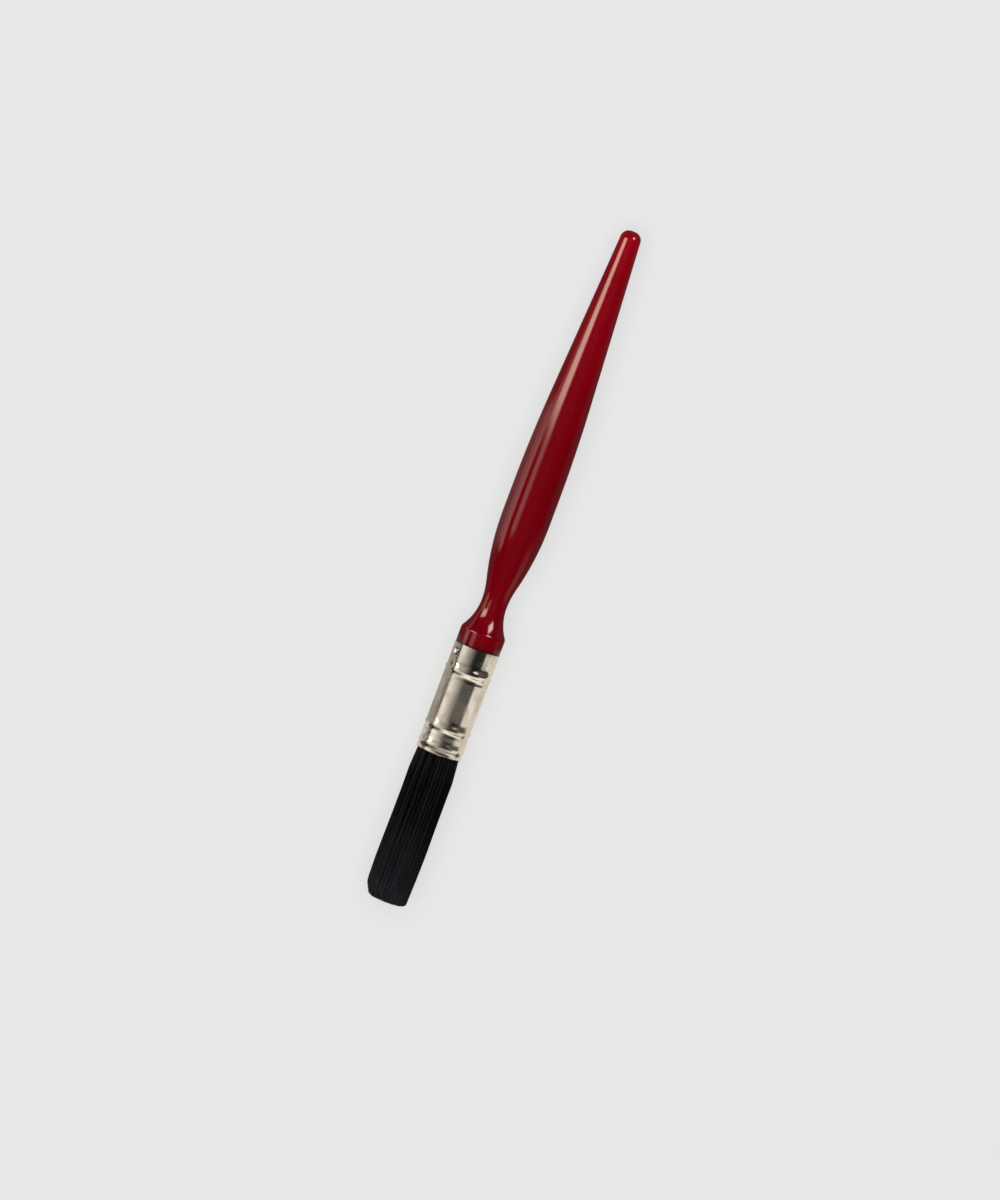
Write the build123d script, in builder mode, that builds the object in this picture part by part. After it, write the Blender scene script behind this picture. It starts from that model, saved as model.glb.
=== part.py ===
from build123d import *
from math import cos, pi, radians, sin
import os

os.makedirs("parts", exist_ok=True)

# Round stencil brush, lying on its side. The brush axis runs along X, with the
# handle tip towards +X and the bristles towards -X. The floor is Z = 0.
# Every size is in millimetres.

# Handle, with its stations measured from the joint between collar and ferrule
handle_length = 126.0
tip_diameter = 5.7
tip_flat = 0.4
taper_from_belly = 21.1
taper_round = 450.0
belly_diameter = 14.0
belly_from_joint = 39.2
belly_share = 0.78
neck_from_joint = 13.3
neck_diameter = 7.5
collar_length = 4.6
collar_step = 0.1
collar_shoulder_round = 1.2
collar_edge_round = 0.25

# Ferrule, with its stations measured from the same joint
ferrule_length = 32.0
ferrule_diameter = 13.3
ferrule_wall = 0.4
handle_bead_from_joint = 7.5
tuft_bead_from_mouth = 7.8
lip_bead_from_mouth = 2.5
bead_reach = 1.85
bead_valley_from_crest = 1.45
bead_valley_drop = 0.04
bead_flank_from_crest = 0.55
bead_flank_rise = 0.06
bore_bead_reach = 1.1
lip_round = 0.25
rim_chamfer = 0.1

# What the ferrule holds
fit_gap = 0.05
spigot_length = 14.0
spigot_chamfer = 0.8
root_recess = 0.15
root_slice = 0.45

# Nails through the ferrule into the spigot, one on each side
nail_from_joint = 2.5
nail_diameter = 0.9
nail_length = 5.0
nail_head_diameter = 1.9
nail_head_height = 0.4
nail_head_round = 0.35
nail_tilt = 54.0
nail_gap = 0.04

# Tuft
bristle_length = 44.8
bristle_width = 0.46
bristle_gap = 0.06
root_margin = 0.1
bloom_swell = 0.15
bloom_from_mouth = 2.5
end_swell = 0.4
crown_drop = 3.2
crown_bias = 0.45
crown_power = 6
ragged_length = 0.5
golden_turn = 137.508

# Places along the brush that follow from the sizes above
tip_x = (handle_length + ferrule_length + bristle_length) / 2
joint_x = tip_x - handle_length
mouth_x = joint_x - ferrule_length
tuft_end_x = mouth_x - bristle_length
spigot_end_x = joint_x - spigot_length
slice_face_x = mouth_x + root_recess
plug_face_x = slice_face_x + root_slice
bloom_x = mouth_x - bloom_from_mouth
nail_x = joint_x - nail_from_joint
bead_crests = [
    joint_x - handle_bead_from_joint,
    mouth_x + tuft_bead_from_mouth,
    mouth_x + lip_bead_from_mouth,
]
bore_bead = [
    (bore_bead_reach, 0),
    (bead_flank_from_crest, bead_flank_rise),
    (-bead_flank_from_crest, bead_flank_rise),
    (-bore_bead_reach, 0),
]
outer_bead = [
    (bead_reach, 0),
    (bead_valley_from_crest, -bead_valley_drop),
    *bore_bead[1:-1],
    (-bead_valley_from_crest, -bead_valley_drop),
    (-bead_reach, 0),
]

belly_radius = belly_diameter / 2
ferrule_radius = ferrule_diameter / 2
collar_radius = ferrule_radius - collar_step
bore_radius = ferrule_radius - ferrule_wall
core_radius = bore_radius - fit_gap
root_radius = core_radius - root_margin
bloom_radius = bore_radius + bloom_swell
end_radius = bore_radius + end_swell
axis_height = max(belly_radius, ferrule_radius, end_radius)
lathe_plane = Plane(origin=(0, 0, axis_height), x_dir=(1, 0, 0), z_dir=(0, -1, 0))
lathe_axis = Axis((0, 0, axis_height), (1, 0, 0))
nail_point_radius = ferrule_radius - nail_length
nail_planes = [
    Plane(
        origin=(nail_x, 0, axis_height),
        x_dir=(1, 0, 0),
        z_dir=(0, side * sin(radians(nail_tilt)), side * cos(radians(nail_tilt))),
    )
    for side in (1, -1)
]


def rolled_line(start_x, end_x, radius, bead):
    """Draw a tube's generating line towards -X. Each bead on its way is a run of tangent arcs
    through the given places: out to the crest and, on the outside, over a shallow valley first."""
    here = (start_x, radius)
    for crest_x in bead_crests:
        places = [(crest_x + step_x, radius + rise) for step_x, rise in bead]
        if places[0][0] < start_x and end_x < places[-1][0]:
            line = Line(here, places[0])
            for there in places[1:]:
                line = TangentArc(line @ 1, there, tangent=line % 1)
            here = line @ 1
    Line(here, (end_x, radius))


# Handle: one turned piece, from the rounded tip to the spigot inside the ferrule
with BuildPart() as handle:
    with BuildSketch(lathe_plane) as handle_outline:
        with BuildLine():
            tip_edge = (tip_x, tip_diameter / 2)
            belly = Vector(joint_x + belly_from_joint, belly_radius)
            taper_start = belly + (taper_from_belly, 0)
            neck = Vector(joint_x + neck_from_joint, neck_diameter / 2)
            turn = belly + (neck - belly) * belly_share
            shoulder = (joint_x + collar_length, collar_radius)
            collar_edge = (joint_x, collar_radius)
            spigot_end = (spigot_end_x, core_radius)

            tip_round = tip_diameter / 2 - tip_flat
            rounds = (tip_round, taper_round)
            FilletPolyline((tip_x, 0), tip_edge, taper_start, belly, radius=rounds)
            belly_arc = TangentArc(belly, turn, tangent=(-1, 0))
            TangentArc(turn, neck, tangent=belly_arc % 1)
            TangentArc(neck, shoulder, tangent=(-1, 0))
            Polyline(shoulder, collar_edge, (joint_x, core_radius), spigot_end)
            Polyline(spigot_end, (spigot_end_x, 0), (tip_x, 0))
        make_face()
        fillet(handle_outline.vertices().sort_by_distance(shoulder)[0], collar_shoulder_round)
        fillet(handle_outline.vertices().sort_by_distance(collar_edge)[0], collar_edge_round)
        chamfer(handle_outline.vertices().sort_by_distance(spigot_end)[0], spigot_chamfer)
    revolve(axis=lathe_axis)
    for plane in nail_planes:
        with BuildSketch(plane.offset(nail_point_radius - nail_gap)):
            Circle(nail_diameter / 2 + nail_gap)
        extrude(amount=nail_gap + nail_length, mode=Mode.SUBTRACT)
handle.part.label = "handle"

# Ferrule: a thin tube with three rolled beads, the last one just behind its rounded lip
with BuildPart() as ferrule:
    with BuildSketch(lathe_plane) as ferrule_outline:
        with BuildLine():
            rolled_line(joint_x, mouth_x, ferrule_radius, outer_bead)
            Line((mouth_x, ferrule_radius), (mouth_x, bore_radius))
            rolled_line(joint_x, mouth_x, bore_radius, bore_bead)
            Line((joint_x, bore_radius), (joint_x, ferrule_radius))
        make_face()
        rim = (joint_x, ferrule_radius)
        chamfer(ferrule_outline.vertices().sort_by_distance(rim)[0], rim_chamfer)
        lip = (mouth_x, ferrule_radius)
        fillet(ferrule_outline.vertices().sort_by_distance(lip)[0], lip_round)
    revolve(axis=lathe_axis)
    for plane in nail_planes:
        with BuildSketch(plane.offset(nail_point_radius)):
            Circle(nail_diameter / 2 + nail_gap)
        extrude(amount=nail_length, mode=Mode.SUBTRACT)
ferrule.part.label = "ferrule"

# Nails: a round shank under a low domed head
with BuildPart() as ferrule_nails:
    for plane in nail_planes:
        with BuildSketch(plane.offset(nail_point_radius)):
            Circle(nail_diameter / 2)
        extrude(amount=nail_length)
        with BuildSketch(plane.offset(ferrule_radius)):
            Circle(nail_head_diameter / 2)
        extrude(amount=nail_head_height)
    head_rims = ferrule_nails.edges().filter_by(GeomType.CIRCLE).group_by(
        lambda edge: (edge.arc_center - Vector(nail_x, 0, axis_height)).length
    )[-1]
    fillet(head_rims, nail_head_round)
ferrule_nails.part.label = "ferrule_nails"

# Plug: the resin that holds the bristle roots and fills the beads around it
with BuildPart() as resin_plug:
    with BuildSketch(lathe_plane):
        with BuildLine():
            rolled_line(spigot_end_x, plug_face_x, core_radius, bore_bead)
            Polyline(
                (plug_face_x, core_radius),
                (plug_face_x, 0),
                (spigot_end_x, 0),
                (spigot_end_x, core_radius),
            )
        make_face()
    revolve(axis=lathe_axis)
resin_plug.part.label = "resin_plug"

# Tuft: rings of four-sided bristles that spread past the mouth, and a slice of their roots.
# Each ring holds as many bristles as fit side by side. Every section of the tuft is the root
# pattern enlarged, so that no two bristles meet.
ring_count = int((root_radius - bristle_width / 2) / (bristle_width + bristle_gap))
ring_pitch = (root_radius - bristle_width / 2) / ring_count
bloom_spread = bloom_radius / root_radius
end_spread = end_radius / root_radius


def bristle_end_x(ring, angle, number):
    """The bristle's end: the tuft is cut flat, its edge is worn round, more on the +Y side."""
    worn = (ring / ring_count) ** crown_power * (1 + crown_bias * sin(angle))
    ragged = ragged_length * (number * golden_turn / 360 % 1) if number else 0
    return tuft_end_x + crown_drop * worn + ragged


def bristle(ring, angle, number):
    """One bristle: three square sections, in the root slice, past the mouth and at the end."""
    sections = []
    for x, spread in (
        (slice_face_x + root_slice / 2, 1),
        (bloom_x, bloom_spread),
        (bristle_end_x(ring, angle, number), end_spread),
    ):
        radius = ring * ring_pitch * spread
        plane = Plane(
            origin=(x, radius * sin(angle), axis_height + radius * cos(angle)),
            x_dir=(0, sin(angle), cos(angle)),
            z_dir=(-1, 0, 0),
        )
        sections.append(plane * Rectangle(bristle_width * spread, bristle_width * spread))
    return loft(sections, ruled=True)


bristles = [bristle(0, 0, 0)]
for ring in range(1, ring_count + 1):
    inner_girth = 2 * pi * (ring * ring_pitch - bristle_width / 2)
    ring_bristles = int(inner_girth / (bristle_width + bristle_gap))
    for place in range(ring_bristles):
        angle = 2 * pi * place / ring_bristles + radians(golden_turn) * ring
        bristles.append(bristle(ring, angle, len(bristles)))
print("bristles", len(bristles))

with BuildPart() as bristle_tuft:
    with BuildSketch(Plane.YZ.offset(slice_face_x)):
        with Locations((0, axis_height)):
            Circle(core_radius)
    extrude(amount=root_slice)
    add(bristles)
bristle_tuft.part.label = "bristle_tuft"

for piece in (handle, ferrule, ferrule_nails, resin_plug, bristle_tuft):
    export_step(piece.part, f"parts/{piece.part.label}.step")
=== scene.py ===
from math import cos, pi, radians, sin, tan

import bpy
from mathutils import Matrix, Vector


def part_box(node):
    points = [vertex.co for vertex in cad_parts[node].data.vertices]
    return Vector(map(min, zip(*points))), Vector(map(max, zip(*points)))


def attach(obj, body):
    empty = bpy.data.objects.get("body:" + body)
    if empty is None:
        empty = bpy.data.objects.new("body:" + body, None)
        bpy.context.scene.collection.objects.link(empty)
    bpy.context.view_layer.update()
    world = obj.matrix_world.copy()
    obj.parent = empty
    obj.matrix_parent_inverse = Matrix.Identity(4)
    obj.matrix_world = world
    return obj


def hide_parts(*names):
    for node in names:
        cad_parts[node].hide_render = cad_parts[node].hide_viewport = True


# Round stencil brush lying on its side, in metres: the axis runs along X, the handle
# tip points to +X, the bristles to -X, and the floor is Z = 0.
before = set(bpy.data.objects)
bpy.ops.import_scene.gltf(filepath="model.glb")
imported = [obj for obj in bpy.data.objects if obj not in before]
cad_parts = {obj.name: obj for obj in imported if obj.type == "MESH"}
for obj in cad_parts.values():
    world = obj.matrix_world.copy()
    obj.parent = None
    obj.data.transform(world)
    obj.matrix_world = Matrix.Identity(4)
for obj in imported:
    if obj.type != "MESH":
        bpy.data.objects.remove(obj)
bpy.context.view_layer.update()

ferruleLow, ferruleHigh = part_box("ferrule")
axisHeight = (ferruleLow.z + ferruleHigh.z) / 2
mouthX = ferruleLow.x
jointX = ferruleHigh.x
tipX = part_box("handle")[1].x
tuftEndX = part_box("bristle_tuft")[0].x
print("frame loaded")


# helpers for node trees, of shaders and of geometry alike


def addNode(tree, kind, inputs=None, **settings):
    # inputs maps a socket's name or number to a value, or to the socket that feeds it
    node = tree.nodes.new(kind)
    for setting, value in settings.items():
        setattr(node, setting, value)
    for socket, value in (inputs or {}).items():
        if isinstance(value, bpy.types.NodeSocket):
            tree.links.new(value, node.inputs[socket])
        else:
            node.inputs[socket].default_value = value
    return node


def calculate(tree, operation, a, b=0.0, c=0.0, clamp=False):
    inputs = {0: a, 1: b, 2: c}
    return addNode(tree, "ShaderNodeMath", inputs, operation=operation, use_clamp=clamp).outputs[0]


def multiply(tree, first, *others):
    for other in others:
        first = calculate(tree, "MULTIPLY", first, other)
    return first


def remap(tree, value, fromLow, fromHigh, toLow, toHigh, smooth=False):
    kind = "SMOOTHSTEP" if smooth else "LINEAR"
    inputs = {"Value": value, 1: fromLow, 2: fromHigh, 3: toLow, 4: toHigh}
    return addNode(tree, "ShaderNodeMapRange", inputs, interpolation_type=kind).outputs["Result"]


def window(tree, value, low, high, softness):
    # 1 between low and high, 0 outside them
    above = calculate(tree, "SUBTRACT", value, low)
    below = calculate(tree, "SUBTRACT", high, value)
    return remap(tree, calculate(tree, "MINIMUM", above, below), 0, softness, 0, 1, smooth=True)


def split(tree, vector):
    return addNode(tree, "ShaderNodeSeparateXYZ", {0: vector}).outputs


def join(tree, x=0.0, y=0.0, z=0.0):
    return addNode(tree, "ShaderNodeCombineXYZ", {0: x, 1: y, 2: z}).outputs[0]


def vectorMath(tree, operation, *vectors):
    return addNode(tree, "ShaderNodeVectorMath", dict(enumerate(vectors)), operation=operation).outputs


def placeOnPiece(tree):
    return addNode(tree, "ShaderNodeTexCoord").outputs["Object"]


def noise(tree, place, scale, detail):
    return addNode(tree, "ShaderNodeTexNoise", {"Vector": place, "Scale": scale, "Detail": detail}).outputs


def blendColours(tree, share, a, b):
    colours = [(*c, 1) if isinstance(c, tuple) else c for c in (a, b)]
    inputs = {0: share, 6: colours[0], 7: colours[1]}
    return addNode(tree, "ShaderNodeMix", inputs, data_type="RGBA").outputs[2]


def addBump(tree, height, distance, normal=None):
    inputs = {"Height": height, "Distance": distance}
    if normal is not None:
        inputs["Normal"] = normal
    return addNode(tree, "ShaderNodeBump", inputs).outputs[0]


def inWords(name):
    # a group's socket is named by the words of a camelCase name: edgeWidth is "Edge Width"
    return "".join(" " + letter if letter.isupper() else letter for letter in name).title()


def newGroup(name, inputs, outputs, kind="ShaderNodeTree"):
    # inputs maps names to first values, or to None for a material, and outputs maps names to types
    tree = bpy.data.node_groups.new(name, kind)
    for inputName, value in inputs.items():
        inputType = {int: "Int", float: "Float"}.get(type(value), "Material")
        socket = tree.interface.new_socket(
            inWords(inputName), in_out="INPUT", socket_type="NodeSocket" + inputType
        )
        if value is not None:
            socket.default_value = value
    for outputName, outputType in outputs.items():
        tree.interface.new_socket(
            inWords(outputName), in_out="OUTPUT", socket_type="NodeSocket" + outputType
        )
    return tree, addNode(tree, "NodeGroupInput").outputs, addNode(tree, "NodeGroupOutput")


def placeGroup(tree, group, **values):
    inputs = {inWords(name): value for name, value in values.items()}
    return addNode(tree, "ShaderNodeGroup", inputs, node_tree=group).outputs


def newMaterial(name, display):
    material = bpy.data.materials.new(name)
    material.use_nodes = True
    material.node_tree.nodes.clear()
    material.diffuse_color = (*display, 1)
    return material, material.node_tree


def finishMaterial(material, surface):
    addNode(material.node_tree, "ShaderNodeOutputMaterial", {"Surface": surface})
    return material


def finishPrincipled(material, inputs):
    shader = addNode(material.node_tree, "ShaderNodeBsdfPrincipled", inputs)
    return finishMaterial(material, shader.outputs[0])


# studio

studio = {
    "tiltToHandle": 6.0,  # degrees that the camera stands off square, towards the handle
    "leanInPicture": 20.5,  # degrees between the brush and the picture's upright
    "pictureSize": (1000, 1200),
    "brushMiddlePixel": (508.1, 566.6),
    "pixelsPerMetre": 3540,
    "lens": 600.0,  # mm, over the sensor's width on the picture's long side
    "sensor": 36.0,
    "clipEnd": 20.0,
    "floorSize": 12.0,
    "floorColour": (0.826, 0.826, 0.826),
    "paleShare": (0.75, 0.92),  # for the camera and the gloss: the rest is the floor's own shading
    "airForGloss": (0.006, 0.007, 0.008),
    "airForRest": (0.12, 0.12, 0.12),
    "warm": (1.0, 0.95, 0.88),  # a panel's tint, where it has none of its own
}

# What the gloss sees of the floor, all painted reflection: dark, and pale beside the ferrule and, on the left
# (+Y), beside the belly. Spans are along X, and distances are from the axis.
floorReflectionPaint = {
    "dark": (0.02, 0.02, 0.02),
    "besideBelly": (1.2, 1.14, 1.06),
    "bellySpan": (0.001, 0.052),
    "bellySlant": -0.23,  # how far the span's start moves with each metre of distance
    "bellySoftness": 0.010,
    "bellyRise": (0.010, 0.085, 0.06, 1.0),  # between these distances its share rises from 0.06 to 1: painted shadow of the brush near it
    "leftOfFerrule": (0.46, 0.43, 0.37),
    "rightOfFerrule": (0.84, 0.79, 0.70),
    "ferruleSpan": (mouthX - 0.004, jointX + 0.003),
    "ferruleSlant": 0.105,  # how far the ferrule's mirror image moves with each metre of distance
    "ferruleSoftness": 0.004,
    "leftEnd": (0.07, 0.11),  # the distances between which the left side grows dark
    "leftPaling": (mouthX + 0.010, mouthX + 0.005),  # nearer the mouth the left is as pale as the right
    "leftPalingShare": 0.9,
}


def aroundBrush(turn, spread, distance, start, end):
    # a panel that faces the brush axis: turn is in degrees from straight up towards +Y,
    # and start and end are its places along X
    s, c = sin(radians(turn)), cos(radians(turn))
    return {
        "centre": ((start + end) / 2, distance * s, axisHeight + distance * c),
        "back": (0, s, c),
        "side": (1, 0, 0),
        "size": (end - start, 2 * distance * tan(radians(spread / 2))),
    }


# Radiance 1 looks white in a mirror. Fades are the shares of a panel's width and height over
# which it dims at each edge: at -X, +X, -Y and +Y for a panel that faces the brush. A panel
# shows only in gloss, on the nodes it names. The one that lights the rest isn't seen in gloss.
lamps = {
    "keyBox": {
        **aroundBrush(turn=51, spread=48, distance=0.50, start=0.018, end=0.205),
        "on": ("handle", "bristle_tuft", "resin_plug"),
        "radiance": 10.2, "tint": (1.0, 0.77, 0.64), "fades": (0.32, 0.1, 0.28, 0.36),
    },
    "beadGlintBox": {
        **aroundBrush(turn=68, spread=14, distance=0.50, start=0.02, end=0.30),
        "on": ("ferrule",), "radiance": 5.5, "fades": (0.1, 0.1, 0.2, 0.2),
    },
    "bellyUpperBox": {
        **aroundBrush(turn=37, spread=30, distance=0.50, start=-0.125, end=0.06),
        "on": ("handle",), "radiance": 1.5, "fades": (0.3, 0.1, 0.45, 0.25),
    },
    "bellyLowerBox": {
        **aroundBrush(turn=77, spread=24, distance=0.50, start=-0.158, end=0.10),
        "on": ("handle", "bristle_tuft"), "radiance": 1.65, "fades": (0.08, 0.35, 0.3, 0.1),
    },
    "farRightCard": {
        **aroundBrush(turn=-74, spread=32, distance=0.50, start=-0.32, end=-0.05),
        "on": ("handle", "bristle_tuft"), "radiance": 0.45, "fades": (0.1, 0.6, 0.02, 0.5),
    },
    "ferruleLeftCard": {
        **aroundBrush(turn=36, spread=88, distance=0.12, start=-0.1100, end=-0.0200),
        "on": ("ferrule", "ferrule_nails"), "radiance": 1.3, "fades": (0.29, 0.15, 0.98, 0.16),
    },
    "ferruleRightCard": {
        **aroundBrush(turn=-71, spread=40, distance=0.12, start=-0.1300, end=-0.0366),
        "on": ("ferrule", "ferrule_nails"), "radiance": 1.05, "fades": (0.02, 0.02, 0.02, 0.16),
    },
    "ferruleTopCard": {
        **aroundBrush(turn=-22, spread=44, distance=0.12, start=-0.0900, end=-0.0470),
        "on": ("ferrule",), "radiance": 0.13, "fades": (0.02, 0.1, 0.1, 0.1),
    },
    "tuftEndPanel": {
        "centre": (-0.27, -0.10, 0.34), "back": (-0.56, 0, 0.83), "side": (0, 1, 0),
        "size": (0.80, 0.21), "on": ("ferrule",), "radiance": 1.35, "fades": (0.05, 0.35, 0.1, 0.1),
    },
    "tuftEndLeftCard": {
        **aroundBrush(turn=45, spread=60, distance=0.50, start=-0.55, end=-0.20),
        "on": ("ferrule",), "radiance": 0.2, "fades": (0.1, 0.1, 0.1, 0.1),
    },
    "beadRightCard": {
        **aroundBrush(turn=-68, spread=50, distance=0.50, start=0.030, end=0.40),
        "on": ("ferrule",), "radiance": 0.10, "fades": (0.1, 0.1, 0.1, 0.1),
    },
    "beadUpperCard": {
        **aroundBrush(turn=24, spread=76, distance=0.50, start=0.005, end=0.40),
        "on": ("ferrule",), "radiance": 0.55, "fades": (0.08, 0.1, 0.7, 0.1),
    },
    "beadRightBox": {
        "centre": (0.0375, -0.0575, 0.0885), "back": (0.559, -0.476, 0.679), "side": (0.648, 0.762, 0),
        "size": (0.07, 0.05), "on": ("ferrule",), "radiance": 1.7, "fades": (0.3, 0.3, 0.3, 0.3),
    },
    "tipEndBox": {
        "centre": (0.569, -0.430, 0.547), "back": (0.66, -0.455, 0.60), "side": (0.4, 0.92, 0),
        "size": (0.46, 0.38), "on": ("handle", "ferrule_nails", "bristle_tuft", "resin_plug"),
        "radiance": 12.0, "fades": (0.2, 0.2, 0.2, 0.2),
    },
    "nailCard": {
        "centre": (-0.0292, 0.0246, 0.0052), "back": (-0.1, 0.946, -0.307), "side": (1, 0, 0),
        "size": (0.009, 0.006), "on": ("ferrule_nails",), "radiance": 1.3, "fades": (0.2, 0.2, 0.2, 0.2),
    },
    "overheadFill": {
        "centre": (0.05, 0.1, 1.2), "back": (0, 0, 1), "side": (1, 0, 0), "size": (1.8, 1.8),
        "lightsRest": True, "radiance": 2.0, "tint": (1.0, 1.0, 1.0), "fades": (0.02, 0.02, 0.02, 0.02),
    },
}


def addCamera():
    tilt = radians(studio["tiltToHandle"])
    lean = radians(studio["leanInPicture"])
    toCamera = Vector((sin(tilt), 0, cos(tilt)))
    alongBrush = Vector((cos(tilt), 0, -sin(tilt)))
    acrossBrush = Vector((0, -1, 0))
    pictureUp = cos(lean) * alongBrush - sin(lean) * acrossBrush
    pictureRight = sin(lean) * alongBrush + cos(lean) * acrossBrush
    width, height = studio["pictureSize"]
    pixelX, pixelY = studio["brushMiddlePixel"]
    metresPerPixel = 1 / studio["pixelsPerMetre"]
    middle = Vector((0, 0, axisHeight))
    aim = middle - pictureRight * (pixelX - width / 2) * metresPerPixel
    aim -= pictureUp * (height / 2 - pixelY) * metresPerPixel
    distance = studio["lens"] / studio["sensor"] * height * metresPerPixel
    cameraData = bpy.data.cameras.new("pictureCamera")
    cameraData.lens = studio["lens"]
    cameraData.sensor_width = studio["sensor"]
    cameraData.clip_end = studio["clipEnd"]
    camera = bpy.data.objects.new("pictureCamera", cameraData)
    axes = Matrix((pictureRight, pictureUp, toCamera)).transposed().to_4x4()
    camera.matrix_world = Matrix.Translation(aim + toCamera * distance) @ axes
    bpy.context.scene.collection.objects.link(camera)
    bpy.context.scene.camera = camera


def addLamp(name, lamp):
    lampData = bpy.data.lights.new(name, "AREA")
    lampData.shape = "RECTANGLE"
    lampData.size, lampData.size_y = lamp["size"]
    lampData.energy = lamp["radiance"] * lampData.size * lampData.size_y * pi
    lampData.use_nodes = True
    tree = lampData.node_tree
    tree.nodes.clear()
    across = split(tree, addNode(tree, "ShaderNodeNewGeometry").outputs["Parametric"])
    strength = 1.0
    for socket, edge, fade in zip((0, 0, 1, 1), (0, 1, 0, 1), lamp["fades"]):
        inner = fade if edge == 0 else 1 - fade
        strength = multiply(tree, remap(tree, across[socket], edge, inner, 0, 1, smooth=True), strength)
    tint = lamp.get("tint", studio["warm"])
    glow = addNode(tree, "ShaderNodeEmission", {"Color": (*tint, 1), "Strength": strength})
    addNode(tree, "ShaderNodeOutputLight", {"Surface": glow.outputs[0]})
    back = Vector(lamp["back"]).normalized()
    side = Vector(lamp["side"]).normalized()
    up = back.cross(side).normalized()
    light = bpy.data.objects.new(name, lampData)
    axes = Matrix((up.cross(back), up, back)).transposed().to_4x4()
    light.matrix_world = Matrix.Translation(lamp["centre"]) @ axes
    lightsRest = lamp.get("lightsRest", False)
    light.visible_camera = False
    light.visible_glossy = not lightsRest
    light.visible_diffuse = lightsRest
    light.visible_transmission = lightsRest
    if "on" in lamp:
        light.light_linking.receiver_collection = bpy.data.collections.new(name + "Shows")
    bpy.context.scene.collection.objects.link(light)


# painted reflections: the floor's glow for gloss rays, pale only where the ferrule and the belly should show
# light
def paintedFloorReflections(tree):
    look = floorReflectionPaint
    x, y, _ = split(tree, placeOnPiece(tree))
    away = calculate(tree, "ABSOLUTE", y)
    left = calculate(tree, "GREATER_THAN", y, 0.0)
    bellyStart, bellyEnd = look["bellySpan"]
    bellyStart = calculate(tree, "MULTIPLY_ADD", away, look["bellySlant"], bellyStart)
    besideBelly = multiply(tree, window(tree, x, bellyStart, bellyEnd, look["bellySoftness"]), left)
    besideBelly = multiply(tree, besideBelly, remap(tree, away, *look["bellyRise"]))
    colour = blendColours(tree, besideBelly, look["dark"], look["besideBelly"])
    seenFrom = calculate(tree, "MULTIPLY_ADD", away, look["ferruleSlant"], x)
    besideFerrule = window(tree, seenFrom, *look["ferruleSpan"], look["ferruleSoftness"])
    near = remap(tree, away, *look["leftEnd"], 1, 0, smooth=True)
    right = remap(tree, left, 0, 1, 1, 0)
    besideFerrule = multiply(tree, besideFerrule, calculate(tree, "MAXIMUM", near, right))
    paling = remap(tree, seenFrom, *look["leftPaling"], 0, 1, smooth=True)
    paling = multiply(tree, paling, look["leftPalingShare"])
    leftColour = blendColours(tree, paling, look["leftOfFerrule"], look["rightOfFerrule"])
    ferruleColour = blendColours(tree, left, look["rightOfFerrule"], leftColour)
    return blendColours(tree, besideFerrule, colour, ferruleColour)


def floorMaterial():
    # the camera sees a pale floor, which keeps a share of its own shadow; the gloss sees the floor's painted
    # reflections, with a smaller share of that shadow
    material, tree = newMaterial("paleFloor", studio["floorColour"])
    path = addNode(tree, "ShaderNodeLightPath").outputs
    gloss = calculate(tree, "ADD", path["Is Glossy Ray"], path["Is Transmission Ray"], clamp=True)
    forCamera, forGloss = studio["paleShare"]
    paleShare = multiply(tree, path["Is Camera Ray"], forCamera)
    paleShare = calculate(tree, "MULTIPLY_ADD", gloss, forGloss, paleShare, clamp=True)
    glowColour = blendColours(tree, gloss, studio["floorColour"], paintedFloorReflections(tree))
    diffuse = addNode(tree, "ShaderNodeBsdfDiffuse", {"Color": (*studio["floorColour"], 1)})
    glow = addNode(tree, "ShaderNodeEmission", {"Color": glowColour, "Strength": 1.0})
    inputs = {0: paleShare, 1: diffuse.outputs[0], 2: glow.outputs[0]}
    return finishMaterial(material, addNode(tree, "ShaderNodeMixShader", inputs).outputs[0])


def addFloor():
    half = studio["floorSize"] / 2
    corners = [(-half, -half, 0), (half, -half, 0), (half, half, 0), (-half, half, 0)]
    mesh = bpy.data.meshes.new("floor")
    mesh.from_pydata(corners, [], [(0, 1, 2, 3)])
    mesh.materials.append(floorMaterial())
    floor = bpy.data.objects.new("floor", mesh)
    bpy.context.scene.collection.objects.link(floor)


def addWorld():
    world = bpy.data.worlds.new("studioAir")
    bpy.context.scene.world = world
    world.use_nodes = True
    tree = world.node_tree
    tree.nodes.clear()
    path = addNode(tree, "ShaderNodeLightPath").outputs
    colour = blendColours(tree, path["Is Glossy Ray"], studio["airForRest"], studio["airForGloss"])
    colour = blendColours(tree, path["Is Camera Ray"], colour, studio["floorColour"])
    background = addNode(tree, "ShaderNodeBackground", {"Color": colour, "Strength": 1.0})
    addNode(tree, "ShaderNodeOutputWorld", {"Surface": background.outputs[0]})


def showPanelsOn(node, piece):
    # adds a piece to what each panel that names its node shows on
    for lampName, lamp in lamps.items():
        if node in lamp.get("on", ()):
            bpy.data.objects[lampName].light_linking.receiver_collection.objects.link(piece)


addCamera()
addFloor()
addWorld()
for lampName, lampValues in lamps.items():
    addLamp(lampName, lampValues)
bpy.context.scene.view_settings.view_transform = "Standard"
print("studio ready")


# surface effects that the materials share


def makeLengthStreaks():
    # long thin marks along the brush, from noise that is drawn out along X
    tree, given, result = newGroup(
        "lengthStreaks", {"along": 20.0, "across": 900.0, "low": 0.4, "high": 0.7}, {"mask": "Float"}
    )
    scale = join(tree, given["Along"], given["Across"], given["Across"])
    drawnOut = vectorMath(tree, "MULTIPLY", placeOnPiece(tree), scale)["Vector"]
    marks = noise(tree, drawnOut, scale=1.0, detail=3.0)[0]
    tree.links.new(remap(tree, marks, given["Low"], given["High"], 0, 1), result.inputs["Mask"])
    return tree


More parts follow.
